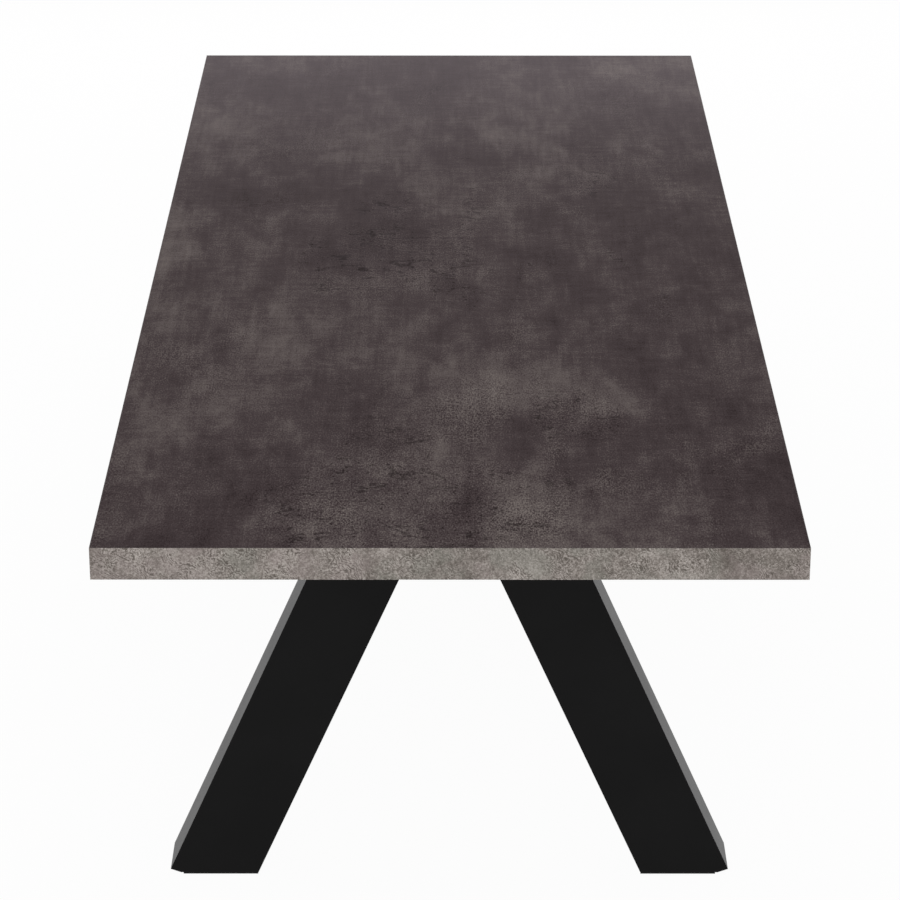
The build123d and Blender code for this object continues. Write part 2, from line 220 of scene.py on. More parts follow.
class Finish:
    """The node tree of a material or of the world, in the making."""

    def __init__(self, owner):
        owner.use_nodes = True
        self.owner = owner
        self.tree = owner.node_tree
        self.tree.nodes.clear()

    def node(self, kind, settings=None, sockets=None, out=0):
        """Add a node: its type, its settings, then the values or wires of its sockets. Gives the wire of its
        output."""
        node = self.tree.nodes.new(kind)
        for key, value in (settings or {}).items():
            if key == "stops":
                elements = node.color_ramp.elements
                for place, _ in value[1:-1]:
                    elements.new(place)
                for element, (place, tone) in zip(elements, value):
                    element.position = place
                    element.color = (*tone, 1)
            else:
                setattr(node, key, value)
        for key, value in (sockets or {}).items():
            if isinstance(value, Wire):
                self.tree.links.new(value.socket, node.inputs[key])
            else:
                node.inputs[key].default_value = value
        return Wire(self, node.outputs[out]) if node.outputs else node

    def math(self, operation, a, b=0.0):
        """A Math node."""
        return self.node("ShaderNodeMath", {"operation": operation}, {0: a, 1: b})

    def place(self, scale=(1, 1, 1), shift=(0, 0, 0), turn=(0, 0, 0)):
        """The point on the piece, scaled, turned and shifted."""
        point = self.node("ShaderNodeTexCoord", out="Object")
        sockets = {"Vector": point, "Scale": scale, "Location": shift, "Rotation": turn}
        return self.node("ShaderNodeMapping", {}, sockets)

    def noise(self, where, scale, detail=4, rough=0.5, warp=0, out="Fac"):
        """Cloudy noise with a mean of about NOISE_MEAN."""
        sockets = {"Vector": where, "Scale": scale, "Detail": detail, "Roughness": rough, "Distortion": warp}
        return self.node("ShaderNodeTexNoise", {}, sockets, out)

    def cells(self, where, scale, out="Distance", feature="F1"):
        """Flat cells, seen from above."""
        settings = {"voronoi_dimensions": "2D", "feature": feature}
        return self.node("ShaderNodeTexVoronoi", settings, {"Vector": where, "Scale": scale}, out)

    def cell_tone(self, where, scale):
        """A random value for each flat cell."""
        return self.node("ShaderNodeSeparateXYZ", {}, {"Vector": self.cells(where, scale, "Color")}, "X")

    def patch(self, x, y, across, along):
        """A soft spot: 1 in its middle, 0 at its reach."""
        where = self.place((1 / across, 1 / along, 0.0), (-x / across, -y / along, 0.0))
        spot = self.node("ShaderNodeTexGradient", {"gradient_type": "SPHERICAL"}, {"Vector": where}, "Fac")
        return self.step(spot, 0.0, 1.0)

    def jitter(self, where, scale, amount):
        """A point pushed about by noise, so that what is drawn there gets ragged outlines."""
        push = self.noise(where, scale, detail=3, rough=0.6, out="Color")
        sockets = {0: push, 1: (amount,) * 3, 2: where}
        return self.node("ShaderNodeVectorMath", {"operation": "MULTIPLY_ADD"}, sockets)

    def step(self, value, low, high):
        """A soft step from 0 at low to 1 at high; it falls where low is above high."""
        rising = low < high
        sockets = {
            "Value": value,
            "From Min": min(low, high),
            "From Max": max(low, high),
            "To Min": 0.0 if rising else 1.0,
            "To Max": 1.0 if rising else 0.0,
        }
        return self.node("ShaderNodeMapRange", {"interpolation_type": "SMOOTHSTEP"}, sockets)

    def vary(self, mean, *parts):
        """A value that swings about its mean: each part is a noise and the weight of its swing."""
        value = mean
        for noise, weight in parts:
            value = value + (noise - NOISE_MEAN) * weight
        return value

    def ramp(self, value, *stops):
        """A colour that follows a value through stops in rising order, each a place and a colour."""
        return self.node("ShaderNodeValToRGB", {"stops": stops}, {"Fac": value})

    def mix(self, factor, a, b):
        """A colour that goes from a, where the factor is 0, to b, where it is 1."""
        a, b = (tone if isinstance(tone, Wire) else (*tone, 1) for tone in (a, b))
        sockets = {MIX_FACTOR: factor, MIX_A: a, MIX_B: b}
        return self.node("ShaderNodeMix", {"data_type": "RGBA"}, sockets, MIX_RESULT)

    def bump(self, height, depth, strength):
        """A normal tilted by a height map that is this deep, in metres."""
        return self.node("ShaderNodeBump", {}, {"Height": height, "Distance": depth, "Strength": strength})

    def surface(self, base, rough, normal, metal=0.0, ior=1.5):
        """Close the tree with the main shader."""
        sockets = {"Base Color": base, "Roughness": rough, "Normal": normal, "Metallic": metal, "IOR": ior}
        shader = self.node("ShaderNodeBsdfPrincipled", {}, sockets)
        self.node("ShaderNodeOutputMaterial", {}, {"Surface": shader})


def shade(tone, factor):
    """A colour made darker or lighter."""
    return tuple(min(1.0, factor * value) for value in tone)


# Finishes


# Places on the top where the decor turns pale or dark, and one broad band of painted shade across the middle
# of the top's length: x, y, reach across, reach along, change of tone.
DECOR_AND_SHADE_PATCHES = (
    (0.03, -1.10, 0.07, 0.20, -0.12),
    (0.21, -0.96, 0.08, 0.16, -0.06),
    (-0.42, -1.22, 0.24, 0.20, -0.10),
    (0.46, -1.00, 0.20, 0.40, -0.16),
    (-0.29, -0.99, 0.20, 0.26, -0.22),
    (-0.12, -1.14, 0.14, 0.20, -0.02),
    (0.12, -1.10, 0.15, 0.24, 0.22),
    (-0.02, -0.94, 0.16, 0.18, 0.16),
    (0.23, -0.70, 0.14, 0.18, 0.14),
    (0.08, -0.62, 0.14, 0.22, 0.16),
    (-0.18, -0.30, 0.22, 0.26, 0.08),
    (-0.48, -0.05, 0.12, 0.75, 0.16),
    (0.02, 0.25, 0.18, 0.24, 0.10),
    (0.20, 0.45, 0.18, 0.24, 0.08),
    # Painted shade: a band across the whole width, darkest in the middle of the table's length, standing in
    # for the lamps' uneven sheen along the top.
    (0.00, 0.05, 4.00, 0.75, -0.06),
)

# Places where the decor's face is coarse and crackled: x, y, reach across, reach along.
ROUGH_PATCHES = (
    (0.12, -1.15, 0.11, 0.18),
    (-0.16, -1.10, 0.10, 0.14),
    (0.26, -1.02, 0.10, 0.16),
    (0.15, -0.90, 0.06, 0.12),
    (0.21, -0.72, 0.10, 0.16),
    (0.02, -0.70, 0.12, 0.20),
)

# Places where it is worn, with pits and cracks: x, y, reach across, reach along, weight.
WORN_PATCHES = (
    (-0.09, -1.12, 0.36, 0.42, 0.36),
    (0.20, -0.72, 0.20, 0.26, 0.20),
)

# The print comes round again along the table: shift across, shift along, share of roughness and of wear.
PRINT_REPEATS = ((0.0, 0.0, 0.28, 1.0), (0.07, 1.14, 0.14, 0.75))

# The dark decor's pattern is drawn out along the table by this scale, and it is livelier near the front end,
# in a patch given as x, y, reach across and reach along.
DECOR_DRAWN = (1.0, 0.42, 1.0)
DECOR_NEAR = (0.0, -1.25, 4.0, 1.7)


def coarse_and_worn(finish):
    """Where the dark decor is coarse and where it is worn: noise, raised at the chosen places and their
    repeats."""
    coarse_at = finish.place(DECOR_DRAWN, shift=(7.4, 3.2, 0.0))
    coarse = finish.noise(coarse_at, scale=6.5, detail=5, rough=0.6, warp=0.5)
    worn_at = finish.place(DECOR_DRAWN, shift=(2.2, 5.1, 0.0))
    worn = finish.noise(worn_at, scale=7.0, detail=5, rough=0.6, warp=0.5)
    for aside, again, roughness, wear in PRINT_REPEATS:
        for x, y, across, along in ROUGH_PATCHES:
            coarse = coarse + finish.patch(x + aside, y + again, across, along) * roughness
        for x, y, across, along, weight in WORN_PATCHES:
            worn = worn + finish.patch(x + aside, y + again, across, along) * (wear * weight)
    return finish.step(coarse, 0.50, 0.84), finish.step(worn, 0.58, 0.74)


def pits_and_cracks(finish):
    """Ragged pits in the middle of about half of the cells, and thin broken lines where a noise passes its
    mean."""
    at = finish.place(DECOR_DRAWN)
    ragged = finish.jitter(finish.place((1.0, 0.7, 1.0)), scale=110.0, amount=0.010)
    pit_scale = 56.0
    chosen = finish.step(finish.cell_tone(ragged, scale=pit_scale), 0.46, 0.56)
    pits = finish.step(finish.cells(ragged, scale=pit_scale), 0.15, 0.06) * chosen
    slanted = finish.place((0.45, 0.9, 1.0), shift=(3.3, 1.1, 0.0), turn=(0, 0, 0.3))
    line = finish.noise(slanted, scale=15.0, rough=0.6, warp=0.8)
    broken = finish.step(finish.noise(at, scale=46.0, detail=3, rough=0.65), 0.47, 0.55)
    cracks = finish.step(abs(line - NOISE_MEAN), 0.026, 0.007) * broken
    deepest = 0.78
    return finish.math("MINIMUM", pits * 0.60 + cracks * 0.55, deepest)


def concrete_decor_top(finish, colours):
    """Dark concrete-look laminate: clouds, blotches and a fine grain drawn out along the table, and faint
    brushing both ways. Coarse places have more grain and a crackle of pale lines round dark cells, and
    worn places have pits and broken cracks."""
    at = finish.place(DECOR_DRAWN)
    cloud = finish.noise(at, scale=5.0, detail=5, rough=0.52, warp=0.4)
    blotch_at = finish.place(DECOR_DRAWN, shift=(4.1, 2.7, 0.0))
    blotch = finish.noise(blotch_at, scale=21.0, detail=6, rough=0.62, warp=0.4)
    brushed = finish.place((0.30, 1.3, 1.0), shift=(0.3, 0.9, 0.0))
    brush = finish.noise(brushed, scale=60.0, rough=0.6, warp=0.3)
    wiped = finish.place((1.6, 0.10, 1.0), shift=(2.3, 0.4, 0.0))
    wipe = finish.noise(wiped, scale=60.0, rough=0.6, warp=0.3)
    grain = finish.noise(at, scale=440.0, rough=0.70)
    coarse, worn = coarse_and_worn(finish)
    near = finish.patch(*DECOR_NEAR)
    blotch_weight = near * 0.32 + 0.52
    grain_weight = (coarse * 2.0 + worn * 0.9 + 1.15) * (near * 0.36 + 0.64)
    tone = finish.vary(
        0.515, (cloud, 0.6), (blotch, blotch_weight), (brush, 0.26), (wipe, 0.26), (grain, grain_weight)
    )
    # The decor's pale and dark patches, and the band of painted shade across the middle of the top.
    for x, y, across, along, lift in DECOR_AND_SHADE_PATCHES:
        tone = tone + finish.patch(x, y, across, along) * lift
    base = finish.ramp(tone, (0.0, colours.decor_deep), (0.5, colours.decor_body), (1.0, colours.decor_pale))
    marks = worn * pits_and_cracks(finish)
    base = finish.mix(marks, base, colours.decor_pit)

    crackled = finish.jitter(at, scale=90.0, amount=0.012)
    crackle = finish.cells(crackled, scale=150.0, feature="DISTANCE_TO_EDGE")
    broken = coarse * finish.step(finish.noise(at, scale=70.0, detail=3, rough=0.7), 0.42, 0.58)
    lines = finish.step(crackle, 0.16, 0.03) * broken
    middles = finish.step(crackle, 0.34, 0.52) * broken
    base = finish.mix(lines * (near * 0.20 + 0.34), base, colours.decor_pale)
    base = finish.mix(middles * (near * 0.20 + 0.32), base, colours.decor_deep)

    rough = finish.vary(0.17, (blotch, 0.08), (grain, 0.04))
    relief = finish.bump(grain * 0.4 + brush * 0.3 - marks * 0.8, depth=0.0003, strength=0.4)
    finish.surface(base, rough, relief, ior=1.03)


def concrete_decor_edge(finish, colours):
    """Light concrete-look edge band: mottling with warm and grey-green patches, zones of fine wrinkles with
    pale crests, and dark rims where the band faces up or down."""
    at = finish.place()
    patch = finish.noise(at, scale=11.0, rough=0.55, warp=0.3)
    mottle = finish.noise(at, scale=46.0, detail=5, rough=0.55, warp=0.5)
    grain = finish.noise(at, scale=430.0, rough=0.75)
    zoned = finish.place(shift=(1.0, 4.0, 5.0))
    coarse = finish.step(finish.noise(zoned, scale=24.0, rough=0.6, warp=0.4), 0.42, 0.60)
    tone = finish.vary(0.5, (patch, 0.9), (mottle, 0.8), (grain, coarse * 2.0 + 2.4))
    base = finish.ramp(tone, (0.05, colours.band_deep), (0.50, colours.band_body), (0.95, colours.band_pale))

    tinted = finish.place(shift=(3.0, 1.0, 2.0))
    hue = finish.noise(tinted, scale=14.0, detail=5, rough=0.6, warp=0.3)
    tint_share = 0.75
    cool = finish.step(hue, 0.50, 0.64) * 0.42
    base = finish.mix(cool, base, finish.mix(tint_share, base, colours.band_cool))
    warm = finish.step(hue, 0.48, 0.36) * 0.45
    base = finish.mix(warm, base, finish.mix(tint_share, base, colours.band_warm))

    wave = {"wave_type": "BANDS", "bands_direction": "DIAGONAL"}
    folds = {"Vector": at, "Scale": 90.0, "Distortion": 36.0, "Detail": 4.0, "Detail Scale": 0.46}
    fold = finish.node("ShaderNodeTexWave", wave, folds, "Fac")
    breaks = finish.place(shift=(5.0, 2.0, 3.0))
    broken = finish.step(finish.noise(breaks, scale=150.0, detail=3, rough=0.7), 0.36, 0.54)
    wrinkles = finish.step(fold, 0.42, 0.06) * coarse * broken
    base = finish.mix(wrinkles * 0.95, base, colours.band_deep)
    crests = finish.step(fold, 0.58, 0.94) * coarse * (1 - broken * 0.5)
    base = finish.mix(crests * 0.46, base, colours.band_pale)

    facing = finish.node("ShaderNodeTexCoord", out="Normal")
    upright = finish.node("ShaderNodeSeparateXYZ", {}, {"Vector": facing}, "Z")
    base = finish.mix(finish.step(abs(upright), 0.4, 0.6), base, colours.band_rim)

    rough = finish.vary(0.62, (mottle, 0.2))
    relief = finish.bump(grain * 0.4 + mottle * 0.4 - wrinkles * 0.5, depth=0.0003, strength=0.5)
    finish.surface(base, rough, relief, ior=1.35)


def backing_board(finish, colours):
    """Plain dark backing paper on the undersides: fine fibre and slow tone changes."""
    fibre = finish.noise(finish.place((1.0, 0.25, 1.0)), scale=380.0, rough=0.7)
    cloud = finish.noise(finish.place(), scale=5.0)
    tone = finish.step(fibre * 0.6 + cloud * 0.4, 0.36, 0.64)
    base = finish.mix(tone, shade(colours.backing, 0.72), shade(colours.backing, 1.35))
    relief = finish.bump(fibre, depth=0.0002, strength=0.4)
    finish.surface(base, finish.vary(0.66, (fibre, 0.2)), relief, ior=1.4)


def core_wood(finish, colours):
    """Raw particle board: pressed chips, each with its own tone."""
    at = finish.jitter(finish.place((1.0, 0.6, 1.0)), scale=90.0, amount=0.004)
    chip = finish.cell_tone(at, scale=170.0)
    dust = finish.noise(at, scale=500.0, detail=3, rough=0.7)
    base = finish.mix(chip * 0.7 + dust * 0.3, shade(colours.particle, 0.55), shade(colours.particle, 1.3))
    relief = finish.bump(chip * 0.6 + dust * 0.4, depth=0.0004, strength=0.6)
    finish.surface(base, finish.vary(0.82, (dust, 0.2)), relief)


def core_paper(finish, colours):
    """Kraft paper of the honeycomb: fibres and flecks."""
    fibre = finish.noise(finish.place((1.0, 1.0, 0.2)), scale=420.0, rough=0.7)
    fleck = finish.step(finish.noise(finish.place(), scale=160.0, detail=2, rough=0.6), 0.62, 0.72)
    deep = shade(colours.paper, 0.7)
    base = finish.mix(fleck * 0.5, finish.mix(fibre, deep, colours.paper), deep)
    relief = finish.bump(fibre, depth=0.0002, strength=0.4)
    finish.surface(base, finish.vary(0.85, (fibre, 0.2)), relief)


def black_lacquer(finish, colours):
    """Matt black lacquer: a soft orange peel and faint changes of sheen."""
    at = finish.place()
    peel = finish.noise(at, scale=330.0, detail=2)
    haze = finish.noise(at, scale=6.0, rough=0.55)
    base = finish.mix(finish.step(haze, 0.35, 0.65), colours.lacquer, shade(colours.lacquer, 1.35))
    rough = finish.vary(0.35, (haze, 0.12), (peel, 0.06))
    relief = finish.bump(peel, depth=0.00006, strength=0.35)
    finish.surface(base, rough, relief, ior=1.20)


def black_tube(finish, colours):
    """Black powder coat on the pull-out tubes: a fine pebbled skin, rubbed a little smoother in places."""
    pebble = finish.noise(finish.place(), scale=620.0, detail=2, rough=0.55)
    rub = finish.step(finish.noise(finish.place((1.0, 0.2, 1.0)), scale=26.0, rough=0.6), 0.52, 0.70)
    base = finish.mix(pebble * 0.6 + rub * 0.3, colours.powder, shade(colours.powder, 1.9))
    relief = finish.bump(pebble, depth=0.00012, strength=0.5)
    finish.surface(base, finish.vary(0.50, (pebble, 0.10)) - rub * 0.12, relief, ior=1.4)


def zinc_sheet(finish, colours):
    """Zinc-plated sheet: rolling lines along the table, cloudy passivation and small dull spots."""
    at = finish.place()
    rolled = finish.noise(finish.place((1.0, 0.03, 1.0)), scale=640.0, detail=3, rough=0.6)
    cloud = finish.noise(at, scale=16.0, detail=5, rough=0.6, warp=0.5)
    spots = finish.step(finish.noise(at, scale=90.0, detail=3, rough=0.6), 0.64, 0.74)
    deep = shade(colours.zinc, 0.62)
    base = finish.mix(finish.step(cloud * 0.7 + rolled * 0.3, 0.34, 0.64), deep, colours.zinc)
    base = finish.mix(spots * 0.4, base, deep)
    rough = finish.vary(0.36, (cloud, 0.25), (rolled, 0.15)) + spots * 0.12
    relief = finish.bump(rolled, depth=0.00005, strength=0.4)
    finish.surface(base, rough, relief, metal=1.0)


def zinc_fasteners(finish, colours):
    """Zinc-plated screws, bolts and pins: bright with fine turning marks."""
    turning = finish.noise(finish.place((0.15, 0.15, 1.0)), scale=2600.0, detail=2)
    cloud = finish.noise(finish.place(), scale=120.0, detail=3, rough=0.6)
    base = finish.mix(cloud, shade(colours.zinc, 0.7), shade(colours.zinc, 1.15))
    rough = finish.vary(0.28, (cloud, 0.2), (turning, 0.1))
    relief = finish.bump(turning, depth=0.00004, strength=0.4)
    finish.surface(base, rough, relief, metal=1.0)


def pale_nylon(finish, colours):
    """Natural nylon strips: milky, with drawn lines along the length and a few dark scuffs."""
    drawn = finish.noise(finish.place((1.0, 0.05, 1.0)), scale=420.0, detail=3, rough=0.6)
    scuff = finish.step(finish.noise(finish.place((1.0, 0.2, 1.0)), scale=60.0, rough=0.65), 0.62, 0.74)
    base = finish.mix(drawn * 0.5 + scuff * 0.5, colours.nylon, shade(colours.nylon, 0.8))
    relief = finish.bump(drawn, depth=0.00008, strength=0.4)
    finish.surface(base, finish.vary(0.42, (drawn, 0.2)) + scuff * 0.1, relief)


def black_plastic(finish, colours):
    """Moulded black plastic: fine leather-like grain from the mould."""
    grain = finish.cells(finish.jitter(finish.place(), scale=700.0, amount=0.0006), scale=1500.0)
    haze = finish.noise(finish.place(), scale=40.0, detail=3)
    base = finish.mix(haze * 0.7 + grain * 0.3, colours.plastic, shade(colours.plastic, 1.7))
    rough = finish.vary(0.49, (grain, 0.15), (haze, 0.1))
    relief = finish.bump(grain, depth=0.00008, strength=0.5)
    finish.surface(base, rough, relief, ior=1.45)


def black_rubber(finish, colours):
    """Matt black rubber: dusty bloom and a faint skin."""
    skin = finish.noise(finish.place(), scale=900.0, detail=2)
    bloom = finish.noise(finish.place(), scale=70.0, rough=0.6)
    base = finish.mix(finish.step(bloom, 0.45, 0.75), colours.rubber, shade(colours.rubber, 2.2))
    relief = finish.bump(skin, depth=0.0001, strength=0.4)
    finish.surface(base, finish.vary(0.80, (skin, 0.15)), relief, ior=1.3)


def grey_felt(finish, colours):
    """Needle felt: tangled fibres, some light, some dark."""
    tangled = finish.jitter(finish.place(), scale=500.0, amount=0.003)
    tangle = finish.noise(tangled, scale=900.0, rough=0.75, warp=1.5)
    tuft = finish.noise(finish.place(), scale=130.0, rough=0.6)
    tone = finish.step(tangle * 0.7 + tuft * 0.3, 0.35, 0.65)
    base = finish.mix(tone, shade(colours.felt, 0.5), shade(colours.felt, 1.6))
    relief = finish.bump(tangle * 0.6 + tuft * 0.6, depth=0.0008, strength=0.8)
    finish.surface(base, 0.95 - tuft * 0.1, relief)


# Each finish has the name of its slot in the record.
FINISHES = {
    recipe.__name__: recipe
    for recipe in (
        concrete_decor_top,
        concrete_decor_edge,
        backing_board,
        core_wood,
        core_paper,
        black_lacquer,
        black_tube,
        zinc_sheet,
        zinc_fasteners,
        pale_nylon,
        black_plastic,
        black_rubber,
        grey_felt,
    )
}
made_finishes = {}


def finish_of(node):
    """The material for a CAD node's slot in the record, made when it is first asked for."""
    slot = SLOT_OF[node]
    if slot not in made_finishes:
        finish = Finish(bpy.data.materials.new(slot))
        FINISHES[slot](finish, bpy.context.scene.table_colours)
        made_finishes[slot] = finish.owner
    return made_finishes[slot]


def dress(*nodes):
    """Give CAD nodes the finish that their slot in the record asks for."""
    for node in nodes:
        for material_slot in frame["nodes"][node].material_slots:
            material_slot.material = finish_of(node)


# Surfaces


MERGE_DISTANCE = 1e-6


def quads(rows, columns, closed=True):
    """Faces of a grid of points: each quad joins a point, its neighbour along the row and the two points
    below them. A closed grid joins its last column to the first."""
    across = columns if closed else columns - 1
    row, column = np.meshgrid(np.arange(rows - 1), np.arange(across), indexing="ij")
    point = row * columns + column
    beside = row * columns + (column + 1) % columns
    return np.stack([point, beside, beside + columns, point + columns], -1).reshape(-1, 4)


def add_piece(name, points, faces, node, smooth=True, replace=True):
    """Put points and faces into a mesh with the body, slot and finish of a CAD node. The piece stands for
    that node, or only rides with it where replace is off."""
    mesh = bpy.data.meshes.new(name)
    mesh.from_pydata(points.reshape(-1, 3), [], [list(face) for face in faces])
    work = bmesh.new()
    work.from_mesh(mesh)
    bmesh.ops.remove_doubles(work, verts=work.verts, dist=MERGE_DISTANCE)
    bmesh.ops.recalc_face_normals(work, faces=work.faces)
    work.to_mesh(mesh)
    work.free()
    mesh.polygons.foreach_set("use_smooth", np.full(len(mesh.polygons), smooth))
    mesh.materials.append(finish_of(node))
    piece = bpy.data.objects.new(name, mesh)
    bpy.context.scene.collection.objects.link(piece)
    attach(piece, BODY_OF[node])
    if replace:
        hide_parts(node)


def rounded_prism(outline, near, far, radius, steps=5):
    """Prism with all edges rounded. The outline, counter-clockwise in (x, z), is drawn in by the radius;
    each surface point is a corner of that inner outline plus the radius times a direction. Along a row
    the direction swings at each corner from one side's normal to the next, and down the rows it tips
    from the near end, where y is near, over to the far end."""
    sides = np.roll(outline, -1, 0) - outline
    after = np.stack([sides[:, 1], -sides[:, 0]], 1) / np.linalg.norm(sides, axis=1)[:, None]
    before = np.roll(after, 1, 0)
    inner = outline - radius * (before + after) / (1 + (before * after).sum(1))[:, None]
    start = np.arctan2(before[:, 1], before[:, 0])
    swing = (np.arctan2(after[:, 1], after[:, 0]) - start) % (2 * np.pi)
    angle = (start[:, None] + swing[:, None] * np.linspace(0, 1, steps)).ravel()
    base = np.repeat(inner, steps, 0)
    tip = np.concatenate([np.linspace(-np.pi / 2, 0, steps), np.linspace(0, np.pi / 2, steps)])[:, None]
    middle = np.repeat([near + radius, far - radius], steps)[:, None]
    x = base[:, 0] + radius * np.cos(tip) * np.cos(angle)
    z = base[:, 1] + radius * np.cos(tip) * np.sin(angle)
    y = middle + radius * np.sin(tip) + 0 * x
    rows, columns = x.shape
    corners = np.arange(0, columns, steps)
    caps = [corners, (rows - 1) * columns + corners[::-1]]
    return np.stack([x, y, z], -1), list(quads(rows, columns)) + caps


def turned(radius, height, count):
    """Surface of revolution about Z: row i is a circle of that radius at that height, in count points. The
    radius may also hold a whole row of values per circle, for lobes."""
    angle = np.linspace(0, 2 * np.pi, count, endpoint=False)
    radius = radius if radius.ndim == 2 else radius[:, None]
    x = radius * np.cos(angle)
    y = radius * np.sin(angle)
    return np.stack([x, y, height[:, None] + 0 * x], -1)


def repeated(points, faces, places):
    """The same shape at many places: the points are shifted by each place, and the faces are counted on."""
    flat = points.reshape(-1, 3)
    many = flat[None] + places[:, None]
    counted = np.arange(len(places))[:, None, None] * len(flat)
    return many.reshape(-1, 3), (faces[None] + counted).reshape(-1, faces.shape[1])


def leg_outline(sizes):
    """A right leg seen from the front, counter-clockwise in (x, z) from the inner corner of its sole: both
    edges lean by the same slope from a mitre at x = 0, and the outer toe is cut off."""
    low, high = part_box("leg_front_right")
    sole, head = low[2], high[2]
    apex = head - sizes.leg_mitre
    toe = sole + sizes.toe_rise
    slope = math.tan(sizes.leg_lean)
    foot = (apex - sole) * slope
    return np.array(
        [
            (foot, sole),
            (foot + sizes.leg_width - sizes.toe_run, sole),
            ((apex - toe) * slope + sizes.leg_width, toe),
            ((apex - head) * slope + sizes.leg_width, head),
            (0, head),
            (0, apex),
        ]
    )


def cross_screw(sizes, shank_length, count=24):
    """One screw, head down, with its seat at height 0. Circles run from the shank's tip over the head's rim
    to the head's middle. The crown is lowest in the middle and rises with the square of the radius. The
    cross is sunk, with sloping walls, where the smaller level coordinate is within half an arm and the
    radius is within the cross's reach, all measured in head radii."""
    straight_shank = 0.8
    crown_reach = 0.985
    cross_reach, cross_slope = 0.62, 0.14
    half_arm, arm_slope = 0.19, 0.07
    head, shank = sizes.screw_head, sizes.screw_shank
    crown = np.linspace(1, 0, 11) * head * crown_reach
    rim = sizes.screw_round - sizes.screw_depth
    radius = np.concatenate([[0, shank, shank, head, head], crown])
    height = np.concatenate([[shank_length, shank_length * straight_shank, 0, 0, rim], 0 * crown])
    points = turned(radius, height, count)
    face = points[-len(crown) :]
    across = np.abs(face[..., :2]) / head
    reach = np.hypot(across[..., 0], across[..., 1])
    sunk = np.clip((cross_reach - reach) / cross_slope, 0, 1)
    sunk = sunk * np.clip((half_arm - across.min(-1)) / arm_slope, 0, 1)
    face[..., 2] = sizes.screw_round * reach**2 - sizes.screw_depth + sizes.screw_recess * sunk
    return points, quads(len(radius), count)


def weld_bead(sizes, rail, sign):
    """Weld bead round a rail's sides and underside, at the end that lies towards sign in y. The path goes
    down one side, round two corners and up the other. A circle is carried along it, its radius rippling
    with the distance and closing to nothing at both ends."""
    points_per_ripple = 5
    ripple_share = 0.14
    low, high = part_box(rail)
    left, right, bottom, top = low[0], high[0], low[2], high[2] - sizes.bead_stop
    bend = np.linspace(0, np.pi / 2, 6)
    opening = sizes.rail_corner * (1 - np.cos(bend))
    closing = sizes.rail_corner * (1 - np.sin(bend))
    first_corner = np.stack([left + opening, bottom + closing], 1)
    second_corner = np.stack([right - closing, bottom + opening], 1)
    path = np.concatenate([[(left, top)], first_corner, second_corner, [(right, top)]])
    run = np.concatenate([[0], np.cumsum(np.linalg.norm(np.diff(path, axis=0), axis=1))])
    distance = np.linspace(0, run[-1], int(run[-1] / sizes.bead_pitch * points_per_ripple))
    line = np.stack([np.interp(distance, run, path[:, 0]), np.interp(distance, run, path[:, 1])], 1)
    along = np.gradient(line, axis=0)
    along /= np.linalg.norm(along, axis=1)[:, None]
    outward = np.stack([along[:, 1], -along[:, 0]], 1)
    from_end = np.minimum(distance, run[-1] - distance)
    closed = np.sqrt(np.clip(from_end / sizes.bead_radius, 0, 1))
    ripple = 1 - ripple_share + ripple_share * np.abs(np.cos(np.pi * distance / sizes.bead_pitch))
    radius = (sizes.bead_radius * ripple * closed)[:, None]
    around = np.linspace(0, 2 * np.pi, 12, endpoint=False)
    x = line[:, :1] + radius * np.cos(around) * outward[:, :1]
    z = line[:, 1:] + radius * np.cos(around) * outward[:, 1:]
    y = sign * (max(abs(low[1]), abs(high[1])) - radius * np.sin(around))
    return np.stack([x, y, z], -1)


def lobed_grip(sizes, node, count=120):
    """Lobed grip of a clamp knob: a turned profile with rounded rims and a slightly hollow end face, whose
    radius swings with the cosine of the angle times the number of lobes."""
    low, high = np.array(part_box(node))
    centre = (low + high) / 2
    reach = (high[0] - low[0]) / 2
    bend = np.linspace(0, np.pi / 2, 8)
    opening = sizes.knob_round * (1 - np.cos(bend))
    closing = sizes.knob_round * (1 - np.sin(bend))
    inset = np.concatenate([[reach], closing, opening, [reach]]) / reach
    height = np.concatenate([[low[2] + sizes.knob_hollow], low[2] + opening, high[2] - closing, [high[2]]])
    angle = np.linspace(0, 2 * np.pi, count, endpoint=False)
    swell = reach - sizes.knob_wave * (1 - np.cos(sizes.knob_lobes * angle))
    return turned((1 - inset)[:, None] * swell, height, count) + (centre[0], centre[1], 0)


# Operators


class DINING_TABLE_OT_boards(Operator):
    """Finish the top: its skins, its edge bands and the core between them"""

    bl_idname = "dining_table.boards"
    bl_label = "Top boards and bands"

    def execute(self, context):
        dress("top_skin", "bottom_skin")
        dress("core_side_rails", "core_end_rails", "fixing_blocks", "honeycomb_core")
        dress(*(f"edge_band_{place}" for place in (*ENDS, *SIDES)))
        return {"FINISHED"}


class DINING_TABLE_OT_legs(Operator):
    """Make the four legs with rounded edges, and finish their plates, plugs, bolts and pads"""

    bl_idname = "dining_table.legs"
    bl_label = "Legs"

    def execute(self, context):
        sizes = context.scene.table_sizes
        outline = leg_outline(sizes)
        for end in ENDS:
            for side, sign in SIDES.items():
                node = f"leg_{end}_{side}"
                low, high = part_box(node)
                mirrored = (outline * (sign, 1))[::sign]
                points, faces = rounded_prism(mirrored, low[1], high[1], sizes.leg_arris)
                add_piece(f"{node}_rounded", points, faces, node, smooth=False)
            dress(f"leg_plate_{end}")
        dress("leg_head_plugs", "leg_plate_bolts", "foot_pads")
        return {"FINISHED"}


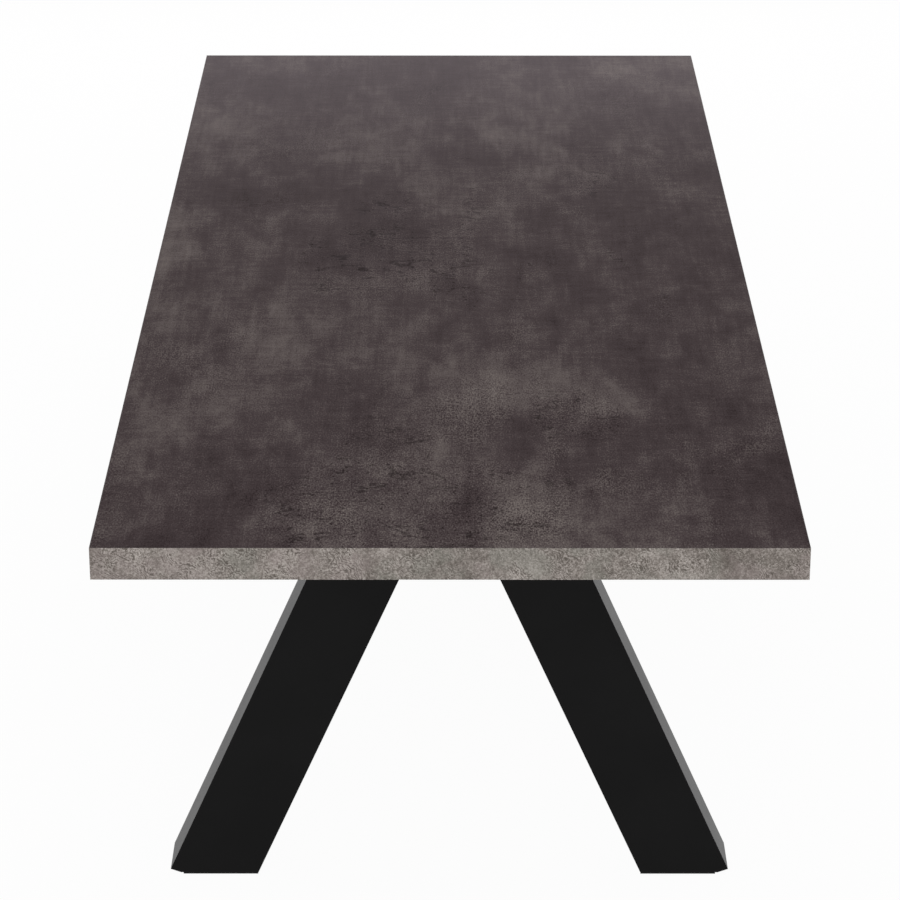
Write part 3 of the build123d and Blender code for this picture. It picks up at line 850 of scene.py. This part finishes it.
class DINING_TABLE_OT_screws(Operator):
    """Make the screws under the table: crowned heads with a cross recess on plain shanks"""

    bl_idname = "dining_table.screws"
    bl_label = "Screws"

    # Each node of screws: the pieces that they hold, and the columns and rows of screws in one piece.
    grids = {
        "leg_plate_screws": ([f"leg_plate_{end}" for end in ENDS], 3, 2),
        "guide_screws": ([f"guide_{end}_{side}" for end in ENDS for side in SIDES], 2, 3),
        "hanger_screws": ([f"leaf_hanger_{end}" for end in ENDS], 5, 1),
    }

    def places(self, node, head, seat):
        """The seat of every screw of a node: an even grid about the middle of each piece that it holds, or
        one row along the piece's outer side. The outermost screws touch the node's box, read to a tenth
        of a millimetre because a head's rim is cut into facets."""
        pieces, columns, rows = self.grids[node]
        outermost = np.round(np.array(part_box(node)[1])[:2] - head, 4)
        seats = []
        for piece in pieces:
            middle = np.mean(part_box(piece), axis=0)[:2]
            reach = outermost - np.abs(middle)
            x = middle[0] + reach[0] * np.linspace(-1, 1, columns)
            y = middle[1] + reach[1] * np.linspace(1, -1, rows) * np.sign(middle[1])
            seats.append(np.stack(np.meshgrid(x, y, [seat]), -1).reshape(-1, 3))
        return np.concatenate(seats)

    def execute(self, context):
        sizes = context.scene.table_sizes
        for node in self.grids:
            low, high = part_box(node)
            seat = low[2] + sizes.screw_depth
            points, faces = cross_screw(sizes, high[2] - seat)
            places = self.places(node, sizes.screw_head, seat)
            add_piece(f"{node}_cross", *repeated(points, faces, places), node)
        return {"FINISHED"}


class DINING_TABLE_OT_guides(Operator):
    """Finish the guide channels, their liners and the bridges across them"""

    bl_idname = "dining_table.guides"
    bl_label = "Guide channels"

    def execute(self, context):
        dress(*(f"guide_{end}_{side}" for end in ENDS for side in SIDES))
        dress("guide_liners", "stop_bridges", "lock_bridges")
        return {"FINISHED"}


class DINING_TABLE_OT_rails(Operator):
    """Finish the pull-out rails with their bars, caps, pads and pins, and lay the weld beads between them"""

    bl_idname = "dining_table.rails"
    bl_label = "Pull-out rails"

    def execute(self, context):
        for end, sign in ENDS.items():
            rails = [f"{end}_rail_{side}" for side in SIDES]
            dress(*rails, f"{end}_cross_bar", f"{end}_tube_caps", f"{end}_rest_pads", f"{end}_stop_pins")
            for rail in rails:
                points = weld_bead(context.scene.table_sizes, rail, sign)
                add_piece(f"{rail}_weld", points, quads(*points.shape[:2]), rail, replace=False)
        return {"FINISHED"}


class DINING_TABLE_OT_knobs(Operator):
    """Make the two clamp knobs as soft lobed grips, and finish their studs"""

    bl_idname = "dining_table.knobs"
    bl_label = "Clamp knobs"

    def execute(self, context):
        for end in ENDS:
            node = f"{end}_knob_grip"
            points = lobed_grip(context.scene.table_sizes, node)
            add_piece(f"{node}_lobed", points, quads(*points.shape[:2]), node)
            dress(f"{end}_knob_stud")
        return {"FINISHED"}


class DINING_TABLE_OT_hangers(Operator):
    """Finish the hangers, their felt and the stops between the stowed leaves"""

    bl_idname = "dining_table.hangers"
    bl_label = "Leaf hangers"

    def execute(self, context):
        dress("leaf_hanger_front", "leaf_hanger_rear", "hanger_felts", "leaf_stops")
        return {"FINISHED"}


class DINING_TABLE_OT_leaves(Operator):
    """Finish the two stowed leaves: skins, core frames, edge bands and rest strips"""

    bl_idname = "dining_table.leaves"
    bl_label = "Leaves"

    def execute(self, context):
        layers = ("top_skin", "bottom_skin", "core_frame", "edge_bands", "rest_strips")
        dress(*(f"leaf_{side}_{layer}" for side in SIDES for layer in layers))
        return {"FINISHED"}


class DINING_TABLE_OT_stage(Operator):
    """Set up the pale floor, the soft lamps, the white surround and the camera"""

    bl_idname = "dining_table.stage"
    bl_label = "Studio"

    # The camera's sensor, in millimetres, and the colour of the surround.
    sensor_width = 36
    white = (1, 1, 1, 1)

    def ray_kinds(self, finish):
        """1 for rays from the camera, and 1 for rays off a mirror or through clear glass."""
        camera = finish.node("ShaderNodeLightPath", out="Is Camera Ray")
        glossy = finish.node("ShaderNodeLightPath", out="Is Glossy Ray")
        clear = finish.node("ShaderNodeLightPath", out="Is Transmission Ray")
        return camera, finish.math("MAXIMUM", glossy, clear)

    def surround(self, studio):
        """Even light from all round, which looks plain white itself."""
        finish = Finish(bpy.data.worlds.new("studio"))
        looks = finish.math("MAXIMUM", *self.ray_kinds(finish))
        strength = studio.sky + looks * (1.0 - studio.sky)
        glow = finish.node("ShaderNodeBackground", {}, {"Color": self.white, "Strength": strength})
        finish.node("ShaderNodeOutputWorld", {}, {"Surface": glow})
        bpy.context.scene.world = finish.owner

    def floor_finish(self, studio):
        """Matt grey mixed with the surround's white, so that the floor looks white but keeps a faint
        shadow. From below it is clear."""
        finish = Finish(bpy.data.materials.new("pale_floor"))
        camera, mirror = self.ray_kinds(finish)
        fine = finish.noise(finish.place(), scale=30.0, detail=3)
        pale = (studio.floor,) * 3
        fleck = shade(pale, 0.985)
        grey = finish.mix(fine, fleck, pale)
        own = finish.node("ShaderNodeBsdfDiffuse", {}, {"Color": grey})
        white = finish.node("ShaderNodeEmission", {}, {"Color": self.white, "Strength": 1.0})
        white_share = camera * (1.0 - studio.shadow) + mirror * (1.0 - camera) * studio.mirrored
        shown = finish.node("ShaderNodeMixShader", {}, {0: white_share, 1: own, 2: white})
        below = finish.node("ShaderNodeNewGeometry", out="Backfacing")
        clear = finish.node("ShaderNodeBsdfTransparent")
        open_below = finish.node("ShaderNodeMixShader", {}, {0: below, 1: shown, 2: clear})
        finish.node("ShaderNodeOutputMaterial", {}, {"Surface": open_below})
        return finish.owner

    def ground(self, studio):
        """The floor: a level grid just under the soles."""
        across = np.linspace(-studio.floor_reach, studio.floor_reach, 3)
        points = np.stack(np.meshgrid(across, across, [-studio.floor_gap]), -1)
        mesh = bpy.data.meshes.new("floor")
        mesh.from_pydata(points.reshape(-1, 3), [], quads(len(across), len(across), closed=False).tolist())
        mesh.materials.append(self.floor_finish(studio))
        floor = bpy.data.objects.new("floor", mesh)
        bpy.context.scene.collection.objects.link(floor)

    def lamp(self, name, power, size, place, target, tint=(1, 1, 1)):
        """A soft rectangular lamp that points at its target and isn't seen itself."""
        data = bpy.data.lights.new(name, "AREA")
        data.energy = power
        data.color = tint
        data.shape = "RECTANGLE"
        data.size, data.size_y = size
        lamp = bpy.data.objects.new(name, data)
        bpy.context.scene.collection.objects.link(lamp)
        away = np.subtract(target, place)
        tilt = math.atan2(math.hypot(away[0], away[1]), -away[2])
        lamp.location = place
        lamp.rotation_euler = (tilt, 0, math.atan2(-away[0], away[1]))
        lamp.visible_camera = False

    def lamps(self, studio):
        """A broad lamp above, a low tinted strip whose sheen lies on the far end of the top, and a front
        light."""
        self.lamp("top_lamp", studio.top_lamp, size=(3.0, 4.0), place=(0.0, 0.0, 4.2), target=(0, 0, 0.7))
        self.lamp(
            "back_lamp",
            studio.back_lamp,
            size=(4.0, 1.1),
            place=(0.0, 4.6, 1.32),
            target=(0, 0.9, 0.75),
            tint=(1.0, 0.88, 0.96),
        )
        self.lamp(
            "front_lamp",
            studio.front_lamp,
            size=(4.0, 2.5),
            place=(-0.4, -5.2, 2.6),
            target=(0, -0.8, 0.5),
        )

    def execute(self, context):
        scene = context.scene
        studio = scene.table_studio
        self.surround(studio)
        self.ground(studio)
        self.lamps(studio)
        data = bpy.data.cameras.new("camera")
        data.lens = studio.lens
        data.sensor_width = self.sensor_width
        camera = bpy.data.objects.new("camera", data)
        camera.location = studio.camera
        camera.rotation_euler = studio.turn
        scene.collection.objects.link(camera)
        scene.camera = camera
        scene.view_settings.view_transform = "Standard"
        return {"FINISHED"}


OPERATORS = (
    DINING_TABLE_OT_stage,
    DINING_TABLE_OT_boards,
    DINING_TABLE_OT_legs,
    DINING_TABLE_OT_screws,
    DINING_TABLE_OT_guides,
    DINING_TABLE_OT_rails,
    DINING_TABLE_OT_knobs,
    DINING_TABLE_OT_hangers,
    DINING_TABLE_OT_leaves,
)


GROUPS = {"table_sizes": TableSizes, "table_colours": TableColours, "table_studio": StudioSettings}


class VIEW3D_PT_dining_table(Panel):
    """Sidebar panel with the table's sizes, colours, studio and steps"""

    bl_label = "Dining table"
    bl_idname = "VIEW3D_PT_dining_table"
    bl_space_type = "VIEW_3D"
    bl_region_type = "UI"
    bl_category = "Table"

    def draw(self, context):
        for group in (getattr(context.scene, name) for name in GROUPS):
            box = self.layout.box()
            for name in group.__annotations__:
                box.prop(group, name)
        for operator in OPERATORS:
            self.layout.operator(operator.bl_idname)


def register():
    for cls in (*GROUPS.values(), *OPERATORS, VIEW3D_PT_dining_table):
        bpy.utils.register_class(cls)
    for name, group in GROUPS.items():
        setattr(bpy.types.Scene, name, PointerProperty(type=group))


def unregister():
    for name in GROUPS:
        delattr(bpy.types.Scene, name)
    for cls in (VIEW3D_PT_dining_table, *reversed(OPERATORS), *GROUPS.values()):
        bpy.utils.unregister_class(cls)


def main():
    """Set up the studio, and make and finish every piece."""
    register()
    bpy.ops.dining_table.stage()
    bpy.ops.dining_table.boards()
    bpy.ops.dining_table.legs()
    bpy.ops.dining_table.screws()
    bpy.ops.dining_table.guides()
    bpy.ops.dining_table.rails()
    bpy.ops.dining_table.knobs()
    bpy.ops.dining_table.hangers()
    bpy.ops.dining_table.leaves()


if __name__ == "__main__":
    main()
